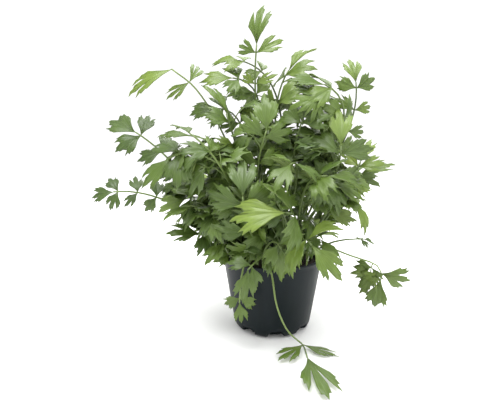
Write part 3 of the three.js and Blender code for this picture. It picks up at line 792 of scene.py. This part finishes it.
# %% Find each frond's bend
def find_fronds():
    """The bent frond, its stalk and its leaflets for each frond node of the frame."""
    chosen = [set_frond(*row) for row in SET_FRONDS]
    rule = with_sites([*chosen, *map(fill_frond, range(FILL_COUNT))])
    slots = {part["node"]: part["material_slot"] for part in frame["record"]["subparts"]}
    found = []
    for name in frond_names:
        index = int(name.split("_")[1]) - 1
        corners = [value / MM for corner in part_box(name) for value in corner]
        best = None
        for attempt in range(MOST_TRIES):
            frond = bent(rule[index], index, attempt)
            stalk = Stalk(frond)
            leaflets = leaflets_of(frond, index, stalk)
            miss = sum(abs(a - b) for a, b in zip(plain_box(leaflets, stalk), corners))
            if best is None or miss < best["miss"]:
                best = {"miss": miss, "bend": attempt, "frond": frond, "stalk": stalk, "leaflets": leaflets}
            if miss < GOOD_MISS:
                break
        found.append({**best, "name": name, "index": index, "slot": slots[name]})
        print(name, "bend", best["bend"], "off by %.1f mm in all" % best["miss"])
    return found


fronds = find_fronds()

# %% [markdown]
# A leaflet
#
# A lovage leaflet is a wedge. It is narrow where it joins the stalk, widest past its middle, and
# ends in one to three lobes with a few coarse teeth that point forwards. A flat card with a picture
# of a leaf would be quicker to make, but it wouldn't catch the light. So the blade is a grid bent
# into a fan: its columns run from the root to the tips and cuts of the edge, and its rows go across.
# A template is made and thickened once, and the vertices of each copy are moved to the leaflet's own
# outline, arch, fold and pleats. There are hundreds of leaflets, so the grids are coarse.

# %% Leaflet templates
BLADE_THICKNESS = 0.4
ROOT_SHARE = 0.03  # where the blade starts, as a share of its length
# Half of the edge, from the middle outwards: (share of the half angle, share of the length). Every
# second point is the end of a vein. The None is the cut between two lobes, which is as deep as the
# leaflet's own cut.
FINE_EDGE = [(0.00, 1.00), (0.08, 0.87), (0.17, 0.85), (0.23, 0.73), (0.31, None), (0.42, 0.73)]
FINE_EDGE += [(0.52, 0.90), (0.61, 0.74), (0.72, 0.80), (0.80, 0.65), (0.91, 0.65), (0.98, 0.52)]
FINE_EDGE += [(1.00, 0.39)]
PLAIN_EDGE = [(0.00, 1.00), (0.13, 0.81), (0.28, None), (0.49, 0.88)]
PLAIN_EDGE += [(0.65, 0.67), (0.83, 0.70), (1.00, 0.42)]


def leaflet_template(name, edge, rows):
    """A thickened grid of columns by rows, and each of its vertices' column, row and side."""
    half = len(edge) - 1
    grid = bmesh.new()
    bmesh.ops.create_grid(grid, x_segments=2 * half, y_segments=rows, size=1)
    uv = grid.loops.layers.uv.new("blade")
    for face in grid.faces:
        for loop in face.loops:
            loop[uv].uv = ((loop.vert.co.x + 1) / 2, (loop.vert.co.y + 1) / 2)
    bmesh.ops.solidify(grid, geom=list(grid.faces), thickness=0.1)
    levels = [vert.co.z for vert in grid.verts]
    middle = (min(levels) + max(levels)) / 2
    for face in grid.faces:
        face.material_index = 1 if all(vert.co.z < middle for vert in face.verts) else 0
    mesh = bpy.data.meshes.new(name)
    grid.to_mesh(mesh)
    grid.free()
    places = []
    for vert in mesh.vertices:
        column = round((vert.co.x + 1) * half) - half
        places.append((column, round((vert.co.y + 1) / 2 * rows), 1 if vert.co.z > middle else -1))
    print(name, "faces:", len(mesh.polygons))
    return {"mesh": mesh, "places": places, "edge": edge, "rows": rows}


FINE = leaflet_template("leaflet", FINE_EDGE, 3)
PLAIN = leaflet_template("small_leaflet", PLAIN_EDGE, 2)

# %% Leaflet mesh
# Shares of a leaflet's length, where no comment says otherwise.
SINUS_REACH, PLEAT = (0.5, 0.8), (0.01, 0.022)
DROOP, DROOP_FROM = (0.05, 0.25), 0.35
RIPPLE, WOBBLE = 0.06, 0.014
FAN_ROOT, FAN_OPEN = 0.55, 0.45  # the share of the fan's angle at its root; where it is all open
MOST_TAPER = 0.18  # of the outermost teeth
TOOTH_SHIFT, TOOTH_CHANGE = 0.02, 0.07  # shares of the fan's half angle, and of the tooth's reach


def blade_grid(leaflet, template, draw):
    """The middle surface of a leaflet: its points by column and row."""
    edge, rows = template["edge"], template["rows"]
    half = len(edge) - 1
    half_angle = math.atan2(leaflet["width"], SHOULDER_ALONG)
    sinus = leaflet.get("sinus", between(draw, *SINUS_REACH))
    taper = MOST_TAPER * draw()
    waves = [draw() * math.tau for _ in range(2)]
    pleat = leaflet["length"] * between(draw, *PLEAT)
    droop = between(draw, *DROOP)
    loose = leaflet.get("loose", 1)
    points = {}
    for column in range(-half, half + 1):
        share, reach = edge[abs(column)]
        reach = sinus if reach is None else reach
        if 0 < abs(column) < half:
            share += either_way(draw, TOOTH_SHIFT)
            reach *= 1 + either_way(draw, TOOTH_CHANGE)
        reach *= 1 - taper * share**1.5
        for row in range(rows + 1):
            r = ROOT_SHARE + (reach - ROOT_SHARE) * row / rows
            narrowing = FAN_ROOT + (1 - FAN_ROOT) * min(1, r / FAN_OPEN) ** 1.2
            angle = math.copysign(share * half_angle * narrowing, column)
            u, v = r * math.cos(angle), r * math.sin(angle)
            ripple = RIPPLE * abs(v) * math.sin(7 * u + waves[0]) + WOBBLE * math.sin(9 * v + waves[1])
            sag = -droop * max(0, r - DROOP_FROM) ** 2 - 0.6 * droop * v * v
            groove = pleat * (1 if column % 2 else -0.6) * min(1, 2 * r)
            lift = loose * (leaflet["length"] * (ripple + sag) + groove)
            points[column, row] = on_blade(leaflet, u, v, lift)
    return points


def surface_normal(points, column, row, face):
    """The side the surface faces at a grid point, from the points around it."""

    def near(c, r):
        return points.get((c, r), points[column, row])

    across = near(column + 1, row) - near(column - 1, row)
    normal = across.cross(near(column, row + 1) - near(column, row - 1))
    if normal.dot(face) < 0:
        normal.negate()
    return normal.normalized() if normal.length > 1e-6 else face


def add_leaflet(mesh_tool, leaflet, template, tint, draw):
    """Adds a leaflet to a frond's bmesh, and returns the line of its midrib."""
    first = len(mesh_tool.verts)
    mesh_tool.from_mesh(template["mesh"])
    mesh_tool.verts.ensure_lookup_table()
    layer = mesh_tool.verts.layers.float["tint"]
    points = blade_grid(leaflet, template, draw)
    normals = {place: surface_normal(points, *place, leaflet["face"]) for place in points}
    for k, (column, row, side) in enumerate(template["places"]):
        vert = mesh_tool.verts[first + k]
        vert.co = points[column, row] + normals[column, row] * (side * BLADE_THICKNESS / 2)
        vert[layer] = tint
    return [leaflet["root"], points[0, 0], points[0, 1]]


# %% [markdown]
# A stalk
#
# A leaf stalk is a slim, slightly ribbed tube that tapers to its leaflets. A bevelled curve object
# would be round. Here a ring of vertices is extruded along the stalk's curve, one short length at a
# time, and every second vertex stands a little in, which gives the ribs. The side stalks are made
# the same way, and so is the midrib that joins each blade to its stalk.

# %% Stalk mesh
def add_tube(mesh_tool, points, radii, tint, sides=8, rib=0.9):
    """Extrudes a ring of vertices along a line of points, closed at both ends."""
    layer = mesh_tool.verts.layers.float["tint"]
    ring = bmesh.ops.create_circle(mesh_tool, cap_ends=True, segments=sides, radius=1)["verts"]
    across = squared_to((points[1] - points[0]).normalized(), Vector((1, 0.2, 0)))
    made = set(ring)
    faces = [ring[0].link_faces[0]]
    for i, point in enumerate(points):
        along = (points[min(i + 1, len(points) - 1)] - points[max(i - 1, 0)]).normalized()
        across = squared_to(along, across)
        other = along.cross(across)
        if i > 0:
            extruded = bmesh.ops.extrude_face_region(mesh_tool, geom=[faces[-1]], use_keep_orig=i == 1)
            new_verts = [item for item in extruded["geom"] if isinstance(item, bmesh.types.BMVert)]
            faces.append(next(item for item in extruded["geom"] if isinstance(item, bmesh.types.BMFace)))
            made.update(new_verts)
        for k, vert in enumerate(faces[-1].verts):
            angle = math.tau * k / sides
            radius = radii[i] * (rib if k % 2 else 1)
            vert.co = point + across * (radius * math.cos(angle)) + other * (radius * math.sin(angle))
    for vert in made:
        vert[layer] = tint
        for face in vert.link_faces:
            face.material_index = 2


# %% [markdown]
# The fronds
#
# Each node's leaflets are dressed one for one. A real frond also has side stalks lower down, each
# with a few smaller leaflets, which make the inside of the clump so dense. There are too many of
# them for the plain solids, so they are added here. A particle system could scatter them, but they
# have to stay in the box of their own frond. So each one is drawn, and kept only if it does.

# %% Frond settings
TINT = {"leaf": (0.15, 0.6), "young_leaf": (0.8, 0.95)}
# The tint of the fronds that stand out, by their number. The others draw theirs.
# Frond 1 trails flat on the ground in shade. Its 0.5 is partly its own green and partly painted light: a
# lighter tint that makes up for that shade.
OWN_TINT_AND_PAINTED_LIGHT = {1: 0.5, 2: 0.35, 11: 0.6, 12: 0.05, 14: 0.1, 17: 0.5, 18: 0.5, 20: 0.5, 33: 0.7, 39: 0.8}
TINT_CHANGE, SIDE_TINT, STALK_TINT = 0.16, (0.08, 0.5), (0.25, 0.6)
YOUNG_PAIR_TINT = 0.45  # the lower leaflets of a young frond are darker than its end leaflet
FLAT_RIPPLE = 0.1  # the share of its ripples that a leaflet keeps on the ground
STALK_STEP = 9  # mm between rings
STALK_FOOT_HEIGHT = SOIL_TOP - STEM_SUNK + 1  # just above the end of the plain stalk
STALK_FOOT_RADIUS, STALK_END_RADIUS = 1.7, 0.9
FREE_FOOT_RADIUS, FREE_STALK_TINT = 1.2, 0.7  # of the stalks that leave the clump
MIDRIB_RADII = (0.65, 0.5, 0.25)
SIDE_STALK_RADII = (0.8, 0.7, 0.6)
# Parts of the main stalk, as shares of its length, and the side stalks in each of them.
SIDE_STALKS = {(0.04, 0.2): 2, (0.2, 0.5): 4, (0.5, 0.94): 5}
SIDE_STALKS_OUTSIDE = {(0.8, 0.97): 2}
LOWEST_OUTSIDE = 60  # mm: the stalks that end lower are bare
SIDE_STALK_TRIES = 60
SIDE_STALK_LENGTH, SIDE_STALK_ARCH, SIDE_STALK_TILT = (16, 46), 4, (0.3, 0.8)
SIDE_LEAFLET, SIDE_WIDTH, SIDE_FOLD = (28, 46), (0.34, 0.46), (0, 0.25)
LOWEST_LEAF = 93  # mm, just above the rim
SKIRT_CENTRE, SKIRT_SLOPE = -20, 1.2  # where the clump leans to, and how fast it widens
FRONT_LIMIT = -84  # mm
BOX_MARGIN = 5  # mm

# %% Side stalks
def small_leaflet(root, axis, normal, length, draw):
    made = leaflet_at(root, axis, normal, length)
    made["width"] = between(draw, *SIDE_WIDTH)
    made["bend"] = between(draw, *BEND)
    made["fold"] = between(draw, *SIDE_FOLD)
    return made


def in_box(point, low, high):
    """Whether a point is in a box, or no farther outside it than the margin."""
    return all(low[i] - BOX_MARGIN < point[i] < high[i] + BOX_MARGIN for i in range(3))


def in_clump(point):
    """Whether a point is above the clump's skirt and behind its front."""
    skirt = RIM_RADIUS + SKIRT_SLOPE * (point.z - LOWEST_LEAF)
    return math.hypot(point.x - SKIRT_CENTRE, point.y) < skirt and point.y > FRONT_LIMIT


def side_stalk(item, shares, draw):
    """A short stalk with three or five small leaflets, or None if it leaves the box or the clump."""
    stalk = item["stalk"]
    low, high = ([value / MM for value in corner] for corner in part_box(item["name"]))
    root_share = between(draw, *shares)
    root, along = stalk.at(root_share), stalk.heading(root_share)
    aside = squared_to(along, direction(360 * draw(), 0))
    way = (along * between(draw, *SIDE_STALK_TILT) + aside).normalized()
    end = root + way * between(draw, *SIDE_STALK_LENGTH)
    middle = (root + end) / 2 + Vector((0, 0, SIDE_STALK_ARCH))
    heading = (end - middle).normalized()
    outwards = Vector((end.x, end.y, 0)).normalized() * between(draw, 0.4, 1.2)
    upwards = Vector((either_way(draw, 0.25), either_way(draw, 0.25), 1))
    face = squared_to(heading, outwards + upwards)
    across = face.cross(heading)
    size = between(draw, *SIDE_LEAFLET)
    axis = (heading - face * between(draw, 0, 0.3)).normalized()
    leaflets = [small_leaflet(end, axis, face, size, draw)]
    for pair in range(1 + round(draw())):
        place = end + (middle - end) * (0.12 + 0.7 * pair)
        for side in (-1, 1):
            forwards = heading * between(draw, 0.35, 0.65)
            axis = (forwards + across * side - face * between(draw, -0.1, 0.4)).normalized()
            leaflets.append(small_leaflet(place, axis, face, size * between(draw, 0.95, 0.8), draw))
    tips = [on_blade(leaflet, 1, 0) for leaflet in leaflets]
    if not all(in_box(point, low, high) for point in [*tips, end]):
        return None
    if "along" not in item["frond"] and not all(map(in_clump, tips)):
        return None
    return [root, middle, end], leaflets


def side_stalks(item, draw):
    """The side stalks of a frond, each with its leaflets."""
    counts = SIDE_STALKS
    if "along" in item["frond"]:
        counts = SIDE_STALKS_OUTSIDE if item["frond"]["at"][2] > LOWEST_OUTSIDE else {}
    kept = []
    for shares, count in counts.items():
        tries = (side_stalk(item, shares, draw) for _ in range(SIDE_STALK_TRIES))
        kept += [made for made in tries if made][:count]
    return kept


# %% Frond mesh
def make_frond(item, materials):
    frond, stalk = item["frond"], item["stalk"]
    draw = draws(5000 + item["index"])
    mesh_tool = bmesh.new()
    mesh_tool.verts.layers.float.new("tint")
    mesh_tool.loops.layers.uv.new("blade")
    count = max(6, round(stalk.length / STALK_STEP))
    shares = [i / count for i in range(count + 1)]
    path = [Vector((*frond["site"], STALK_FOOT_HEIGHT)), *map(stalk.at, shares)]
    foot = FREE_FOOT_RADIUS if "along" in frond else STALK_FOOT_RADIUS
    radii = [foot, *(foot + (STALK_END_RADIUS - foot) * share for share in shares)]
    number = item["index"] + 1
    # A set tint can hold painted light, as frond 1's lighter tint does.
    base_tint = OWN_TINT_AND_PAINTED_LIGHT[number] if number in OWN_TINT_AND_PAINTED_LIGHT else between(draw, *TINT[item["slot"]])
    stalk_tint = FREE_STALK_TINT if "along" in frond else between(draw, *STALK_TINT)
    add_tube(mesh_tool, path, radii, stalk_tint)
    for k, leaflet in enumerate(item["leaflets"]):
        if "sinus" in frond:
            leaflet["sinus"] = frond["sinus"]
        if frond.get("flat"):
            leaflet["loose"] = FLAT_RIPPLE
        tint = min(1, max(0, base_tint + either_way(draw, TINT_CHANGE)))
        if item["slot"] == "young_leaf" and k > 0:
            tint *= YOUNG_PAIR_TINT
        midrib = add_leaflet(mesh_tool, leaflet, FINE, tint, draw)
        add_tube(mesh_tool, midrib, MIDRIB_RADII, stalk_tint, sides=5, rib=1)
    for side_path, leaflets in side_stalks(item, draw):
        add_tube(mesh_tool, side_path, SIDE_STALK_RADII, stalk_tint, sides=5, rib=1)
        for leaflet in leaflets:
            midrib = add_leaflet(mesh_tool, leaflet, PLAIN, between(draw, *SIDE_TINT), draw)
            add_tube(mesh_tool, midrib, MIDRIB_RADII, stalk_tint, sides=4, rib=1)
    finished(item["name"] + "_dressed", mesh_tool, materials, item["name"])


# %% Make the fronds
FACE_GREENS, BACK_GREENS = ("3f5525", "5f772e", "91a74b"), ("60743e", "7c904e", "9db25e")
face = leaf("lovage_leaf_face", FACE_GREENS, "90a266", "8ea53c", roughness=0.38, ior=1.5)
back = leaf("lovage_leaf_back", BACK_GREENS, "a6b382", "90a53c", roughness=0.6, ior=1.4)
frond_materials = [face, back, stalk_material()]
for item in fronds:
    make_frond(item, frond_materials)


# %% [markdown]
# Studio
#
# The plant stands on a white sweep under large soft lights, as in a catalogue. A picture of a studio
# could light it too, but area lights are easier to move one by one. The world is white as well, so
# that the pot's edges pick up a pale sheen and the undersides of the leaves stay light.

# %% Floor, lights and world
FLOOR_REACH = 3  # m
FLOOR_LEVEL = -0.0005  # m, so that the floor isn't in one plane with the pot's foot
LIGHT_AIM = Vector((0, 0, 0.2))  # m, the middle of the plant
# Each light's name, its place and size in m, and its power in W.
LIGHTS = [
    ("key", (-0.2, -0.3, 1.5), 0.9, 23),
    ("fill", (1.2, -0.7, 1.3), 1.4, 8),
    ("back", (0.3, 0.9, 1.4), 1.0, 14),
]
WORLD_STRENGTH = 1.15


def make_floor():
    """A floor of matt white paper."""
    floor_tool = bmesh.new()
    bmesh.ops.create_grid(floor_tool, x_segments=1, y_segments=1, size=FLOOR_REACH)
    mesh = bpy.data.meshes.new("floor")
    floor_tool.to_mesh(mesh)
    floor_tool.free()
    made, tree = new_material("white_paper_sweep")
    node(tree, "ShaderNodeOutputMaterial", Surface=surface(tree, linear("fafafa"), 0.9))
    mesh.materials.append(made)
    floor = bpy.data.objects.new("floor", mesh)
    floor.location.z = FLOOR_LEVEL
    bpy.context.scene.collection.objects.link(floor)


def soft_light(name, place, size, power):
    """An area light that faces the middle of the plant."""
    data = bpy.data.lights.new(name, "AREA")
    data.size = size
    data.energy = power
    light = bpy.data.objects.new(name, data)
    light.location = place
    light.rotation_euler = (LIGHT_AIM - Vector(place)).to_track_quat("-Z", "Y").to_euler()
    bpy.context.scene.collection.objects.link(light)


make_floor()
for row in LIGHTS:
    soft_light(*row)
world = bpy.data.worlds.new("studio")
world.use_nodes = True
sky = world.node_tree.nodes["Background"].inputs
sky["Color"].default_value = (1, 1, 1, 1)
sky["Strength"].default_value = WORLD_STRENGTH
bpy.context.scene.world = world
bpy.context.scene.view_settings.view_transform = "Standard"
print("lights:", len(LIGHTS))
